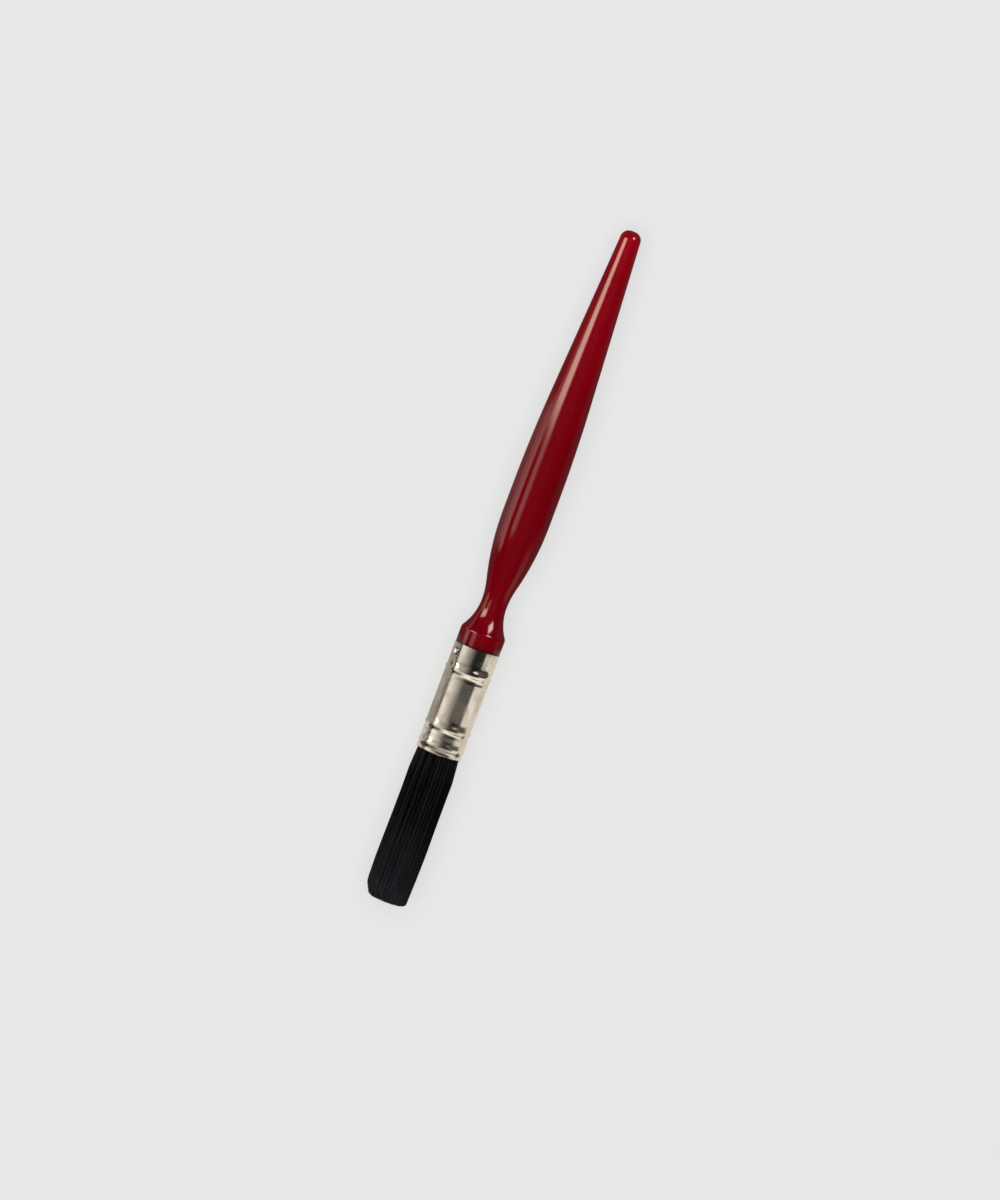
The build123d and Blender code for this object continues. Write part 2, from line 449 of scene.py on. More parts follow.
def makeSoftPatches():
    # cloudy patches, for smudges, tarnish and uneven film
    tree, given, result = newGroup(
        "softPatches", {"fineness": 200.0, "detail": 3.0, "low": 0.4, "high": 0.6}, {"mask": "Float"}
    )
    place = placeOnPiece(tree)
    inputs = {"Vector": place, "Scale": given["Fineness"], "Detail": given["Detail"], "Distortion": 0.4}
    clouds = addNode(tree, "ShaderNodeTexNoise", inputs).outputs[0]
    tree.links.new(remap(tree, clouds, given["Low"], given["High"], 0, 1), result.inputs["Mask"])
    return tree


def makeFineSpecks():
    # scattered round specks: one cell in some has a speck in its middle
    tree, given, result = newGroup(
        "fineSpecks", {"fineness": 900.0, "share": 0.2, "width": 0.25}, {"mask": "Float"}
    )
    inputs = {"Vector": placeOnPiece(tree), "Scale": given["Fineness"]}
    cells = addNode(tree, "ShaderNodeTexVoronoi", inputs).outputs
    inside = remap(tree, cells["Distance"], given["Width"], 0.0, 0, 1, smooth=True)
    chance = addNode(tree, "ShaderNodeSeparateColor", {0: cells["Color"]}).outputs[0]
    chosen = calculate(tree, "LESS_THAN", chance, given["Share"])
    tree.links.new(multiply(tree, inside, chosen), result.inputs["Mask"])
    return tree


def makeTurnedRings():
    # fine rings about the axis, as a lathe or a roller leaves them
    tree, given, result = newGroup("turnedRings", {"spacing": 0.0003, "waver": 0.3}, {"height": "Float"})
    place = placeOnPiece(tree)
    lines = calculate(tree, "DIVIDE", split(tree, place)[0], given["Spacing"])
    drift = noise(tree, place, scale=160.0, detail=2.0)[0]
    inputs = {"W": calculate(tree, "MULTIPLY_ADD", drift, given["Waver"], lines), "Scale": 1.0, "Detail": 4.0}
    rings = addNode(tree, "ShaderNodeTexNoise", inputs, noise_dimensions="1D")
    tree.links.new(rings.outputs[0], result.inputs["Height"])
    return tree


def makeTurnedNormal():
    # The true normal of a turned piece: its slope along X is the given one for the given share of
    # the outside, or else the mesh's own, and the rest points straight away from the axis. Faces
    # that aren't turned keep the mesh's normal.
    tree, given, result = newGroup(
        "turnedNormal", {"axisHeight": 0.007, "slope": 0.0, "slopeShare": 0.0}, {"normal": "Vector"}
    )
    mostOffAxis = 0.02  # a turned face's normal points this nearly straight away from the axis
    texture = addNode(tree, "ShaderNodeTexCoord").outputs
    nx, ny, nz = split(tree, texture["Normal"])
    _, y, z = split(tree, texture["Object"])
    fromAxis = join(tree, 0.0, y, calculate(tree, "SUBTRACT", z, given["Axis Height"]))
    outwards = vectorMath(tree, "NORMALIZE", fromAxis)["Vector"]
    across = join(tree, 0.0, ny, nz)
    agreement = vectorMath(tree, "DOT_PRODUCT", across, outwards)["Value"]
    side = calculate(tree, "SIGN", agreement)
    slopeShare = multiply(tree, given["Slope Share"], calculate(tree, "MAXIMUM", side, 0.0))
    slope = addNode(tree, "ShaderNodeMix", {0: slopeShare, 2: nx, 3: given["Slope"]}).outputs[0]
    reach = calculate(tree, "SQRT", calculate(tree, "SUBTRACT", 1.0, multiply(tree, slope, slope)))
    inputs = {0: outwards, "Scale": multiply(tree, reach, side)}
    radial = addNode(tree, "ShaderNodeVectorMath", inputs, operation="SCALE").outputs[0]
    turned = vectorMath(tree, "ADD", radial, join(tree, slope))["Vector"]
    acrossLength = vectorMath(tree, "LENGTH", across)["Value"]
    offAxis = calculate(tree, "SUBTRACT", acrossLength, calculate(tree, "ABSOLUTE", agreement))
    inputs = {0: calculate(tree, "LESS_THAN", offAxis, mostOffAxis), 4: texture["Normal"], 5: turned}
    chosen = addNode(tree, "ShaderNodeMix", inputs, data_type="VECTOR").outputs[1]
    settings = {"vector_type": "NORMAL", "convert_from": "OBJECT", "convert_to": "WORLD"}
    normal = addNode(tree, "ShaderNodeVectorTransform", {0: chosen}, **settings)
    tree.links.new(normal.outputs[0], result.inputs["Normal"])
    return tree


lengthStreaks = makeLengthStreaks()
softPatches = makeSoftPatches()
fineSpecks = makeFineSpecks()
turnedRings = makeTurnedRings()
turnedNormal = makeTurnedNormal()


def trueNormal(tree, x, slope, span):
    # span is where along X the slope holds, and how softly it ends
    values = {"axisHeight": axisHeight, "slope": slope, "slopeShare": window(tree, x, *span)}
    return placeGroup(tree, turnedNormal, **values)["Normal"]


# handle: crimson lacquer over turned wood

lacquerLook = {
    "deepRed": (0.166, 0.0003, 0.0036),
    "warmRed": (0.360, 0.0008, 0.0080),
    # where the red goes towards the warm one: from there to there along X, and how far
    "warmth": ((0.025, tipX - 0.02, 0.38), (tipX - 0.016, tipX, 0.45), (0.0, -0.012, 0.10)),
    "grain": {"along": 22.0, "across": 1100.0, "low": 0.35, "high": 0.7},
    "grainShare": 0.14,
    "specks": {"fineness": 420.0, "share": 0.05, "width": 0.16},
    # the specks' dark red, which also paints the shade at the joint
    "speckAndShadeColour": (0.045, 0.0003, 0.0015),
    "speckShare": 0.7,
    "speckHeight": 1.5,
    "paintedShadeReach": 0.0006,  # painted shade: the dark line where the collar meets the ferrule
    "paintedShadeStart": -0.0001,
    "paintedShadeShare": 0.85,
    "paintedShadeFineness": 300.0,
    "collarShade": (0.003, 0.38),  # painted shade: how far from the ferrule the lacquer darkens, and how much
    "smudges": {"fineness": 130.0, "detail": 4.0, "low": 0.42, "high": 0.62},
    "baseRoughness": (0.38, 0.5),
    "coatWeight": (1.0, 0.93),
    "coatRoughness": 0.10,
    "coatIor": 1.48,
    "ripples": {"along": 45.0, "across": 420.0, "low": 0.2, "high": 0.8},
    "rippleHeight": 1.2,
    "peelFineness": 620.0,
    "peelHeight": 0.0000025,
    "neckSmoothness": (-0.008, 0.012, 0.1),  # where along X the ripples rise to their height, from this share
    "turnedSpan": (jointX + 0.0049, tipX - 0.003, 0.0005),
    # where the outline bends, in metres from the joint, and the change of its normal's X there
    "bends": (
        (0.0461, 0.07447, 0.06305),
        (0.0392, 0.0190, -0.2471),
        (0.0190, 0.0133, 0.2471),
        (0.0133, 0.0046, 0.5833),
    ),
}


def lacquerPaintedShade(tree, place, x):
    # painted shade: a dark line against the ferrule, uneven in its width, and a shade over the collar beside
    # it
    look = lacquerLook
    reach = look["paintedShadeReach"]
    drift = noise(tree, place, look["paintedShadeFineness"], detail=2.0)[0]
    fromJoint = calculate(tree, "MULTIPLY_ADD", drift, -reach, calculate(tree, "SUBTRACT", x, jointX))
    line = remap(tree, fromJoint, look["paintedShadeStart"], reach, look["paintedShadeShare"], 0, smooth=True)
    shadeReach, shadeShare = look["collarShade"]
    return calculate(tree, "MAXIMUM", line, remap(tree, fromJoint, 0.0, shadeReach, shadeShare, 0))


def makeLacquer():
    look = lacquerLook
    material, tree = newMaterial("crimsonLacquer", look["warmRed"])
    place = placeOnPiece(tree)
    x = split(tree, place)[0]
    warmth = 0.0
    for start, end, share in look["warmth"]:
        warmth = calculate(tree, "ADD", remap(tree, x, start, end, 0, share, smooth=True), warmth)
    grain = placeGroup(tree, lengthStreaks, **look["grain"])["Mask"]
    warmth = calculate(tree, "MULTIPLY_ADD", grain, look["grainShare"], warmth, clamp=True)
    colour = blendColours(tree, warmth, look["deepRed"], look["warmRed"])
    specks = placeGroup(tree, fineSpecks, **look["specks"])["Mask"]
    colour = blendColours(tree, multiply(tree, specks, look["speckShare"]), colour, look["speckAndShadeColour"])
    # painted shade at the joint with the ferrule
    colour = blendColours(tree, lacquerPaintedShade(tree, place, x), colour, look["speckAndShadeColour"])
    smudges = placeGroup(tree, softPatches, **look["smudges"])["Mask"]
    peel = noise(tree, place, look["peelFineness"], detail=1.0)[0]
    ripples = placeGroup(tree, lengthStreaks, **look["ripples"])["Mask"]
    height = calculate(tree, "MULTIPLY_ADD", ripples, look["rippleHeight"], peel)
    neckStart, neckEnd, least = look["neckSmoothness"]
    height = multiply(tree, height, remap(tree, x, neckStart, neckEnd, least, 1.0, smooth=True))
    height = calculate(tree, "MULTIPLY_ADD", specks, look["speckHeight"], height)
    slope = 0.0
    for start, end, change in look["bends"]:
        slope = calculate(tree, "ADD", remap(tree, x, jointX + start, jointX + end, 0, change), slope)
    normal = addBump(tree, height, look["peelHeight"], trueNormal(tree, x, slope, look["turnedSpan"]))
    return finishPrincipled(material, {
        "Base Color": colour,
        "Roughness": remap(tree, smudges, 0, 1, *look["baseRoughness"]),
        "Specular IOR Level": 0.0,
        "Coat Weight": remap(tree, smudges, 0, 1, *look["coatWeight"]),
        "Coat Roughness": look["coatRoughness"],
        "Coat IOR": look["coatIor"],
        "Normal": normal,
        "Coat Normal": normal,
    })


# ferrule: nickel plate, a little dull and dented from the rolling

nickelLook = {
    "bright": (0.74, 0.70, 0.62),
    # tarnish, and the darker streaks painted on the +Y side
    "tarnishAndShade": (0.42, 0.37, 0.28),
    # the dark colour of the painted shade and reflection
    "paintedShade": (0.10, 0.08, 0.055),
    "clouds": {"fineness": 210.0, "detail": 5.0, "low": 0.45, "high": 0.72},
    "spots": {"fineness": 1300.0, "share": 0.12, "width": 0.3},
    "spotShare": 0.6,
    "tarnishShare": 0.55,
    "scratches": {"along": 90.0, "across": 3800.0, "low": 0.62, "high": 0.8},
    "scratchHeight": 0.0000006,
    "streaks": {"along": 160.0, "across": 1100.0, "low": 0.45, "high": 0.62},
    "streakSide": (0.0030, 0.0050, 0.55),  # painted mottling of the reflection: where along Y the streaks come up, to this share
    "roughness": (0.14, 0.26),
    "lowerDullness": (jointX - 0.009, jointX - 0.006, 0.07),  # added to it from the mouth to the upper bead
    "dentFineness": 170.0,
    "dentHeight": 0.00005,
    "mouthDents": (mouthX + 0.013, mouthX + 0.007, 1.6),  # deeper dents around the lower beads
    "rings": {"spacing": 0.00022, "waver": 0.6},
    "ringHeight": 0.0000012,
    "turnedSpan": (mouthX + 0.00035, jointX - 0.0002, 0.0002),
    "nailX": jointX - 0.0025,
    "nailTilt": 54.0,  # degrees between the nails and straight up
    "nailPaintedShade": (0.00085, 0.0015, 0.9),  # painted shade, from a nail's axis: the dark ring round its head
    # each bead's crest, and how much wider than its section it looks on its +X and -X sides
    "beads": ((jointX - 0.00725, 1.6, 1.6), (mouthX + 0.0078, 1.75, 1.3), (mouthX + 0.0024, 1.6, 1.32)),
    "beadFlank": (0.00055, 0.35),  # its distance from the crest, and its normal's X
    "beadValley": (0.00145, (0.03, -0.15)),  # its distance, and the normal's X on the +X and -X sides
    "beadReach": 0.00185,
    "creaseWidth": (0.00005, 0.0003),
    "creaseSpan": (-0.0042, 0.0010, 0.0012),  # along Y, and how softly it ends: the painted crease shade lies only there
    "creasePatches": {"fineness": 420.0, "detail": 2.0, "low": 0.3, "high": 0.6},
    "creaseShade": (0.4, 1.0, 0.55),  # painted shade in the creases: its least and most, by the patches, as shares of the last one
    "dullLip": 0.6,  # painted reflection of the dark tuft: how far the top of the mouth's bead is darkened and dulled, between these places along X and Y
    "dullLipSpans": ((mouthX + 0.0005, mouthX + 0.0024, 0.0004), (-0.0032, 0.0030, 0.0015)),
}


def beadSlope(tree, x):
    # the normal's X over the beads, which rise and fall in straight runs, and where their creases are
    look = nickelLook
    flank, flankSlope = look["beadFlank"]
    valley, valleySlopes = look["beadValley"]
    slope, creases = 0.0, 0.0
    for crestX, upper, lower in look["beads"]:
        fromCrest = calculate(tree, "SUBTRACT", x, crestX)
        above = calculate(tree, "DIVIDE", calculate(tree, "MAXIMUM", fromCrest, 0.0), upper)
        below = calculate(tree, "DIVIDE", calculate(tree, "MINIMUM", fromCrest, 0.0), -lower)
        for away, sign, valleySlope in zip((above, below), (1, -1), valleySlopes):
            runs = (
                (0.0, flank, flankSlope),
                (flank, valley, valleySlope - flankSlope),
                (valley, look["beadReach"], -valleySlope),
            )
            for start, end, change in runs:
                slope = calculate(tree, "ADD", remap(tree, away, start, end, 0, sign * change), slope)
        offValley = calculate(tree, "ABSOLUTE", calculate(tree, "SUBTRACT", below, valley))
        crease = remap(tree, offValley, *look["creaseWidth"], 1, 0, smooth=True)
        creases = calculate(tree, "MAXIMUM", crease, creases)
    return slope, creases


def nailRing(tree, x, y, z):
    # painted shade: the dark ring round each nail's head, from the distance to the nails' axis
    look = nickelLook
    tilt = radians(look["nailTilt"])
    start, end, share = look["nailPaintedShade"]
    sideways = multiply(tree, calculate(tree, "SUBTRACT", z, axisHeight), -sin(tilt))
    sideways = calculate(tree, "MULTIPLY_ADD", y, cos(tilt), sideways)
    lengthways = calculate(tree, "SUBTRACT", x, look["nailX"])
    sidewaysSquare = multiply(tree, sideways, sideways)
    squares = calculate(tree, "MULTIPLY_ADD", lengthways, lengthways, sidewaysSquare)
    return remap(tree, calculate(tree, "SQRT", squares), start, end, share, 0, smooth=True)


def nickelPaintedShade(tree, x, y, z, creases):
    # painted shade: dark round the nails and in the beads' creases, and a painted reflection of the tuft over
    # the lip
    look = nickelLook
    patchy = placeGroup(tree, softPatches, **look["creasePatches"])["Mask"]
    least, most, tarnishAndShade = look["creaseShade"]
    creaseShare = multiply(tree, remap(tree, patchy, 0, 1, least, most), tarnishAndShade)
    creaseShare = multiply(tree, creaseShare, window(tree, y, *look["creaseSpan"]))
    paintedShade = calculate(tree, "MAXIMUM", nailRing(tree, x, y, z), multiply(tree, creases, creaseShare))
    alongX, alongY = look["dullLipSpans"]
    dullLip = multiply(tree, window(tree, x, *alongX), look["dullLip"], window(tree, y, *alongY))
    return calculate(tree, "MAXIMUM", paintedShade, dullLip)


def makeNickel():
    look = nickelLook
    material, tree = newMaterial("nickelPlate", look["bright"])
    place = placeOnPiece(tree)
    x, y, z = split(tree, place)
    slope, creases = beadSlope(tree, x)
    clouds = placeGroup(tree, softPatches, **look["clouds"])["Mask"]
    spots = placeGroup(tree, fineSpecks, **look["spots"])["Mask"]
    scratches = placeGroup(tree, lengthStreaks, **look["scratches"])["Mask"]
    stained = calculate(tree, "ADD", clouds, multiply(tree, spots, look["spotShare"]), clamp=True)
    tarnished = multiply(tree, stained, look["tarnishShare"])
    colour = blendColours(tree, tarnished, look["bright"], look["tarnishAndShade"])
    # painted mottling: darker streaks over the +Y side only, in the reflection there
    sideStart, sideEnd, sideShare = look["streakSide"]
    streaks = placeGroup(tree, lengthStreaks, **look["streaks"])["Mask"]
    streaks = multiply(tree, streaks, remap(tree, y, sideStart, sideEnd, 0, sideShare, smooth=True))
    colour = blendColours(tree, streaks, colour, look["tarnishAndShade"])
    # painted shade and reflection, which also dulls the surface
    paintedShade = nickelPaintedShade(tree, x, y, z, creases)
    colour = blendColours(tree, paintedShade, colour, look["paintedShade"])
    dull = calculate(tree, "MAXIMUM", stained, calculate(tree, "MAXIMUM", scratches, paintedShade))
    dullStart, dullEnd, added = look["lowerDullness"]
    lowerDullness = remap(tree, x, dullStart, dullEnd, added, 0, smooth=True)
    roughness = calculate(tree, "ADD", remap(tree, dull, 0, 1, *look["roughness"]), lowerDullness)
    dentStart, dentEnd, deeper = look["mouthDents"]
    dents = noise(tree, place, look["dentFineness"], detail=1.5)[0]
    dents = multiply(tree, dents, remap(tree, x, dentStart, dentEnd, 1.0, deeper, smooth=True))
    rings = placeGroup(tree, turnedRings, **look["rings"])["Height"]
    normal = addBump(tree, rings, look["ringHeight"], trueNormal(tree, x, slope, look["turnedSpan"]))
    normal = addBump(tree, scratches, look["scratchHeight"], normal)
    normal = addBump(tree, dents, look["dentHeight"], normal)
    return finishPrincipled(
        material, {"Base Color": colour, "Metallic": 1.0, "Roughness": roughness, "Normal": normal}
    )


# nails: bare steel, spotted and dulled

nailLook = {
    "bright": (0.80, 0.77, 0.71),
    "dark": (0.34, 0.31, 0.26),
    "clouds": {"fineness": 900.0, "detail": 4.0, "low": 0.4, "high": 0.75},
    "specks": {"fineness": 3200.0, "share": 0.3, "width": 0.35},
    "darkShare": 0.7,
    "wornHeight": 0.000004,
    "roughness": (0.26, 0.42),
}


def makeNailSteel():
    look = nailLook
    material, tree = newMaterial("nailSteel", look["bright"])
    clouds = placeGroup(tree, softPatches, **look["clouds"])["Mask"]
    specks = placeGroup(tree, fineSpecks, **look["specks"])["Mask"]
    worn = calculate(tree, "MAXIMUM", clouds, specks)
    darkShare = multiply(tree, worn, look["darkShare"])
    return finishPrincipled(material, {
        "Base Color": blendColours(tree, darkShare, look["bright"], look["dark"]),
        "Metallic": 1.0,
        "Roughness": remap(tree, worn, 0, 1, *look["roughness"]),
        "Normal": addBump(tree, worn, look["wornHeight"]),
    })


# resin: cloudy amber with small bubbles

resinLook = {
    "amber": (0.35, 0.22, 0.09),
    "brown": (0.16, 0.08, 0.03),
    "clouds": {"fineness": 400.0, "detail": 4.0, "low": 0.35, "high": 0.7},
    "bubbles": {"fineness": 1500.0, "share": 0.25, "width": 0.4},
    "bubbleHeight": 0.00003,
    "roughness": (0.12, 0.3),
}


def makeResin():
    look = resinLook
    material, tree = newMaterial("amberResin", look["amber"])
    clouds = placeGroup(tree, softPatches, **look["clouds"])["Mask"]
    bubbles = placeGroup(tree, fineSpecks, **look["bubbles"])["Mask"]
    brownShare = calculate(tree, "MAXIMUM", clouds, bubbles)
    return finishPrincipled(material, {
        "Base Color": blendColours(tree, brownShare, look["amber"], look["brown"]),
        "Roughness": remap(tree, clouds, 0, 1, *look["roughness"]),
        "Normal": addBump(tree, bubbles, look["bubbleHeight"]),
    })


def dress(node, material):
    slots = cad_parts[node].data.materials
    slots.clear()
    slots.append(material)
    showPanelsOn(node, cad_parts[node])


dress("handle", makeLacquer())
dress("ferrule", makeNickel())
dress("ferrule_nails", makeNailSteel())
dress("resin_plug", makeResin())
print("handle, ferrule, nails and resin dressed")


# bristles: each is a named input of their tree

bristleShape = {
    "count": 4700,
    "rootX": mouthX + 0.0005,
    "endX": tuftEndX + 0.00005,
    "fullestRadius": 0.00672,
    "packing": 0.46,  # a strand's share of the radius is its share of the count to this power
    "strandRadius": 0.000105,
    "tipThinning": 0.45,
    "thinningPower": 2.0,
    "wornLength": 0.0020,
    "wornPower": 6.5,
    "wornBias": 1.25,  # how much more the +Y side is worn
    "leastWear": 0.35,
    "raggedLength": 0.0011,
    "raggedPower": 2.5,
    "tuftedLength": 0.0026,
    "tuftedFineness": 10.0,
    "sideLean": 0.0002,
    "sideLeanPower": 0.35,
    "clumping": 0.00034,
    "clumpPower": 1.2,
    "sideStart": 0.9,  # the share of the radius beyond which strands clump less
    "clumpingAtSide": 0.35,  # and what is left of it in the outermost
    "clumpFineness": 1050.0,
    "clumpStretch": 0.34,
    "crossing": 0.07,
    "strayShare": 0.012,
    "strayReach": 0.00022,
    "strayPower": 3.0,
    "seed": 7,
}

# what chance gives each strand: the draw's own seed, and its range
strandChances = {
    "shareJitter": (5, 0.985, 1.0),
    "turnJitter": (6, -0.012, 0.012),
    "crossing": (7, -1.0, 1.0),
    "tone": (1, 0.0, 1.0),
    "ragged": (2, 0.0, 1.0),
    "roll": (3, 0.0, 2 * pi),
    "fate": (4, 0.0, 1.0),
}

# share of the tuft's length from the root, and of its fullest radius
tuftOutline = [
    (0.0, 0.905), (0.011, 0.925), (0.024, 0.970), (0.06, 0.982), (0.25, 0.975), (0.365, 0.978),
    (0.515, 0.982), (0.665, 1.0), (0.74, 0.998), (0.815, 0.985), (0.892, 0.968), (1.0, 0.945),
]

bristleLook = {
    "root": (0.0013, 0.0013, 0.0013),
    "tip": (0.0115, 0.0113, 0.0155),
    "pale": (0.028, 0.027, 0.032),
    "wornSpan": (0.35, 1.0),  # along a strand, from the root's colour to the tip's
    # the strands grow paler near their ends: from, to, as shares of their length, and how far
    "paleEnd": (0.88, 0.97, 0.45),
    "paleStrands": (4.0, 0.42),  # the power of a strand's tone, and its share
    "clouds": {"fineness": 260.0, "detail": 3.0, "low": 0.4, "high": 0.65},
    "cloudShare": 0.15,
    "roughness": (0.36, 0.55),
    "specularLevel": 0.19,
}


def makeBristleMaterial():
    look = bristleLook
    material, tree = newMaterial("blackBristle", look["root"])
    along = addNode(tree, "ShaderNodeAttribute", attribute_name="along").outputs["Fac"]
    tone = addNode(tree, "ShaderNodeAttribute", attribute_name="tone").outputs["Fac"]
    clouds = placeGroup(tree, softPatches, **look["clouds"])["Mask"]
    worn = remap(tree, along, *look["wornSpan"], 0, 1, smooth=True)
    colour = blendColours(tree, worn, look["root"], look["tip"])
    palingStart, palingEnd, palingShare = look["paleEnd"]
    paleEnd = remap(tree, along, palingStart, palingEnd, 0, palingShare, smooth=True)
    colour = blendColours(tree, paleEnd, colour, look["pale"])
    power, paleShare = look["paleStrands"]
    paleStrand = multiply(tree, calculate(tree, "POWER", tone, power), paleShare)
    cloudy = multiply(tree, clouds, worn)
    dusty = calculate(tree, "MULTIPLY_ADD", cloudy, look["cloudShare"], paleStrand)
    return finishPrincipled(material, {
        "Base Color": blendColours(tree, dusty, colour, look["pale"]),
        "Roughness": remap(tree, tone, 0, 1, *look["roughness"]),
        "Specular IOR Level": look["specularLevel"],
    })


def enabledSocket(sockets, name=None):
    # the socket in use, where a node has one of that name for each type of data
    return [s for s in sockets if s.enabled and name in (None, s.name)][0]


def byChance(tree, given, name):
    seed, low, high = strandChances[name]
    node = addNode(tree, "FunctionNodeRandomValue", data_type="FLOAT")
    enabledSocket(node.inputs, "Min").default_value = low
    enabledSocket(node.inputs, "Max").default_value = high
    index = addNode(tree, "GeometryNodeInputIndex").outputs[0]
    tree.links.new(index, enabledSocket(node.inputs, "ID"))
    tree.links.new(calculate(tree, "ADD", given["Seed"], seed), enabledSocket(node.inputs, "Seed"))
    return enabledSocket(node.outputs)


def store(tree, geometry, name, value):
    inputs = {"Geometry": geometry, "Name": name}
    node = addNode(tree, "GeometryNodeStoreNamedAttribute", inputs, data_type="FLOAT", domain="POINT")
    tree.links.new(value, enabledSocket(node.inputs, "Value"))
    return node.outputs[0]


def named(tree, name):
    node = addNode(tree, "GeometryNodeInputNamedAttribute", {"Name": name}, data_type="FLOAT")
    return enabledSocket(node.outputs)


def rootPoints(tree, given):
    # a sunflower pattern: each root's share of the radius, its turn, and its strand's chances
    goldenAngle = 2.399963  # radians
    points = addNode(tree, "GeometryNodePoints", {"Count": given["Count"]}).outputs[0]
    index = addNode(tree, "GeometryNodeInputIndex").outputs[0]
    countShare = calculate(tree, "DIVIDE", calculate(tree, "ADD", index, 0.5), given["Count"])
    share = calculate(tree, "POWER", countShare, given["Packing"])
    share = multiply(tree, share, byChance(tree, given, "shareJitter"))
    points = store(tree, points, "share", share)
    turn = calculate(tree, "MULTIPLY_ADD", index, goldenAngle, byChance(tree, given, "turnJitter"))
    points = store(tree, points, "turn", turn)
    for name in ("crossing", "tone", "ragged", "roll", "fate"):
        points = store(tree, points, name, byChance(tree, given, name))
    return points


def strandX(tree, given, share, turn, along):
    # the cut end: its edge is worn round, more on the +Y side, and the lengths are ragged
    side, up = calculate(tree, "SINE", turn), calculate(tree, "COSINE", turn)
    bias = calculate(tree, "MULTIPLY_ADD", side, given["Worn Bias"], 1.0)
    bias = calculate(tree, "MAXIMUM", bias, given["Least Wear"])
    wornShare = calculate(tree, "POWER", share, given["Worn Power"])
    lost = multiply(tree, wornShare, bias, given["Worn Length"])
    ragged = calculate(tree, "POWER", named(tree, "ragged"), given["Ragged Power"])
    lost = calculate(tree, "MULTIPLY_ADD", ragged, given["Ragged Length"], lost)
    seat = join(tree, multiply(tree, share, side), multiply(tree, share, up))
    tufts = noise(tree, seat, given["Tufted Fineness"], detail=2.0)[0]
    tufted = remap(tree, tufts, 0.5, 1.0, 0, 1)
    lost = calculate(tree, "MULTIPLY_ADD", tufted, given["Tufted Length"], lost)
    run = calculate(tree, "SUBTRACT", calculate(tree, "ADD", given["End X"], lost), given["Root X"])
    return calculate(tree, "MULTIPLY_ADD", run, along, given["Root X"])


def strandRadius(tree, given, share, along, reach):
    # a strand's share of the tuft's outline, and a few strands that stand off it
    outline = addNode(tree, "ShaderNodeFloatCurve", {"Value": reach})
    curve = outline.mapping.curves[0]
    curve.points[0].location = tuftOutline[0]
    curve.points[1].location = tuftOutline[-1]
    for point in tuftOutline[1:-1]:
        curve.points.new(*point)
    outline.mapping.update()
    radius = multiply(tree, share, multiply(tree, outline.outputs[0], given["Fullest Radius"]))
    stray = calculate(tree, "LESS_THAN", named(tree, "fate"), given["Stray Share"])
    stray = multiply(tree, stray, calculate(tree, "POWER", along, given["Stray Power"]))
    return calculate(tree, "MULTIPLY_ADD", stray, given["Stray Reach"], radius)


def strandLean(tree, given, share, along, reach, x, ringY, ringZ):
    # neighbours lean together in clumps, and the whole tuft bows towards -Y along its middle
    seat = join(tree, multiply(tree, x, given["Clump Stretch"]), ringY, ringZ)
    lean = split(tree, noise(tree, seat, given["Clump Fineness"], detail=2.0)["Color"])
    size = multiply(tree, calculate(tree, "POWER", along, given["Clump Power"]), given["Clumping"])
    atSide = remap(tree, share, given["Side Start"], 1.0, 1.0, given["Clumping At Side"])
    size = multiply(tree, size, atSide)
    bow = calculate(tree, "SINE", multiply(tree, reach, pi))
    bow = multiply(tree, calculate(tree, "POWER", bow, given["Side Lean Power"]), given["Side Lean"])
    leanY = multiply(tree, calculate(tree, "SUBTRACT", lean[0], 0.5), size)
    leanZ = multiply(tree, calculate(tree, "SUBTRACT", lean[1], 0.5), size)
    return calculate(tree, "MULTIPLY_ADD", bow, -1.0, leanY), leanZ


def strandSection(tree, given, along, local):
    # the three-sided section, rolled by chance, and its size, thinner at the tip
    roll = named(tree, "roll")
    sine, cosine = calculate(tree, "SINE", roll), calculate(tree, "COSINE", roll)
    sectionY = calculate(
        tree, "SUBTRACT", multiply(tree, local[0], cosine), multiply(tree, local[1], sine)
    )
    sectionZ = calculate(tree, "ADD", multiply(tree, local[0], sine), multiply(tree, local[1], cosine))
    thinning = calculate(tree, "POWER", along, given["Thinning Power"])
    thinning = multiply(tree, thinning, given["Tip Thinning"], -1.0)
    size = multiply(tree, calculate(tree, "ADD", thinning, 1.0), given["Strand Radius"])
    return sectionY, sectionZ, size


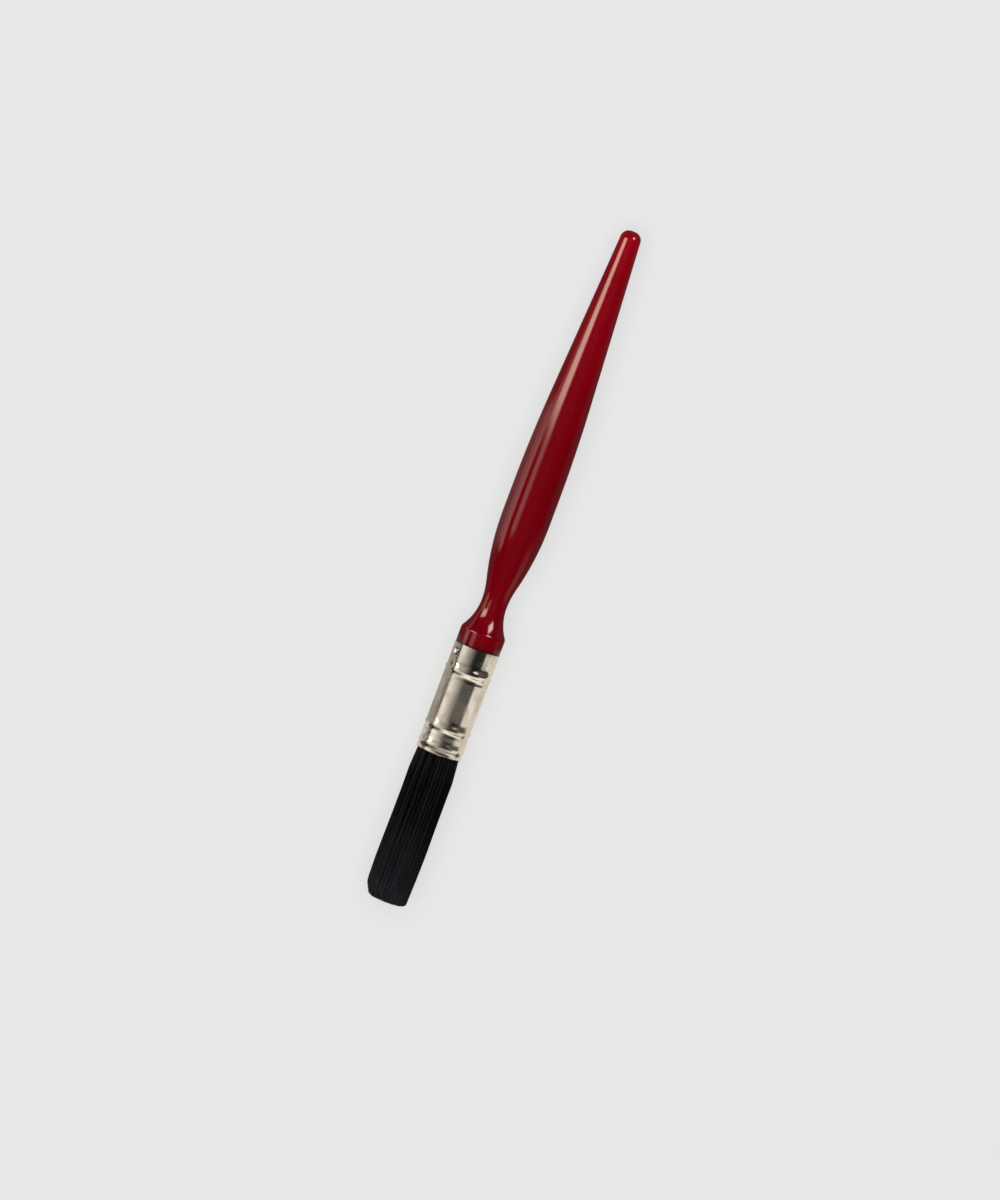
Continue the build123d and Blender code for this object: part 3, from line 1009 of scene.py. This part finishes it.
def makeBristleTree():
    # Each strand starts as a three-sided prism at the origin, and is then set along its own
    # line, on a root pattern that every section of the tuft enlarges.
    tree, given, result = newGroup(
        "bristleTuft", {**bristleShape, "material": None}, {"geometry": "Geometry"}, "GeometryNodeTree"
    )
    points = rootPoints(tree, given)
    inputs = {"Vertices": 3, "Side Segments": 6, "Radius": 1.0, "Depth": 1.0}
    prism = addNode(tree, "GeometryNodeMeshCylinder", inputs, fill_type="NGON").outputs["Mesh"]
    local = split(tree, addNode(tree, "GeometryNodeInputPosition").outputs[0])
    prism = store(tree, prism, "along", calculate(tree, "ADD", local[2], 0.5))
    inputs = {"Points": points, "Instance": prism}
    strands = addNode(tree, "GeometryNodeInstanceOnPoints", inputs).outputs[0]
    strands = addNode(tree, "GeometryNodeRealizeInstances", {0: strands}).outputs[0]

    share, turn, along = named(tree, "share"), named(tree, "turn"), named(tree, "along")
    x = strandX(tree, given, share, turn, along)
    wholeRun = calculate(tree, "SUBTRACT", given["End X"], given["Root X"])
    reach = calculate(tree, "DIVIDE", calculate(tree, "SUBTRACT", x, given["Root X"]), wholeRun)
    radius = strandRadius(tree, given, share, along, reach)
    # strands cross their neighbours a little
    crossing = multiply(tree, named(tree, "crossing"), along, given["Crossing"])
    turned = calculate(tree, "ADD", turn, crossing)
    ringY = multiply(tree, radius, calculate(tree, "SINE", turned))
    ringZ = multiply(tree, radius, calculate(tree, "COSINE", turned))
    leanY, leanZ = strandLean(tree, given, share, along, reach, x, ringY, ringZ)
    sectionY, sectionZ, size = strandSection(tree, given, along, local)
    y = calculate(tree, "ADD", calculate(tree, "MULTIPLY_ADD", sectionY, size, ringY), leanY)
    z = calculate(tree, "ADD", calculate(tree, "MULTIPLY_ADD", sectionZ, size, ringZ), leanZ)
    inputs = {"Geometry": strands, "Position": join(tree, x, y, calculate(tree, "ADD", z, axisHeight))}
    strands = addNode(tree, "GeometryNodeSetPosition", inputs).outputs[0]
    inputs = {"Geometry": strands, "Material": given["Material"]}
    strands = addNode(tree, "GeometryNodeSetMaterial", inputs).outputs[0]
    tree.links.new(strands, result.inputs["Geometry"])
    return tree


def makeBristles():
    tree = makeBristleTree()
    bristles = bpy.data.objects.new("bristles", bpy.data.meshes.new("bristles"))
    bpy.context.scene.collection.objects.link(bristles)
    modifier = bristles.modifiers.new("bristleTuft", "NODES")
    modifier.node_group = tree
    values = {inWords(name): value for name, value in bristleShape.items()}
    values["Material"] = makeBristleMaterial()
    for socket in tree.interface.items_tree:
        if socket.in_out == "INPUT":
            modifier[socket.identifier] = values[socket.name]
    evaluated = bristles.evaluated_get(bpy.context.evaluated_depsgraph_get())
    bristles.data = bpy.data.meshes.new_from_object(evaluated)
    bristles.modifiers.clear()
    bristles.data.name = "bristles"
    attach(bristles, "root")
    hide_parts("bristle_tuft")
    showPanelsOn("bristle_tuft", bristles)
    return bristles


bristles = makeBristles()
bristles.data.calc_loop_triangles()
print("bristles set:", len(bristles.data.loop_triangles), "triangles")
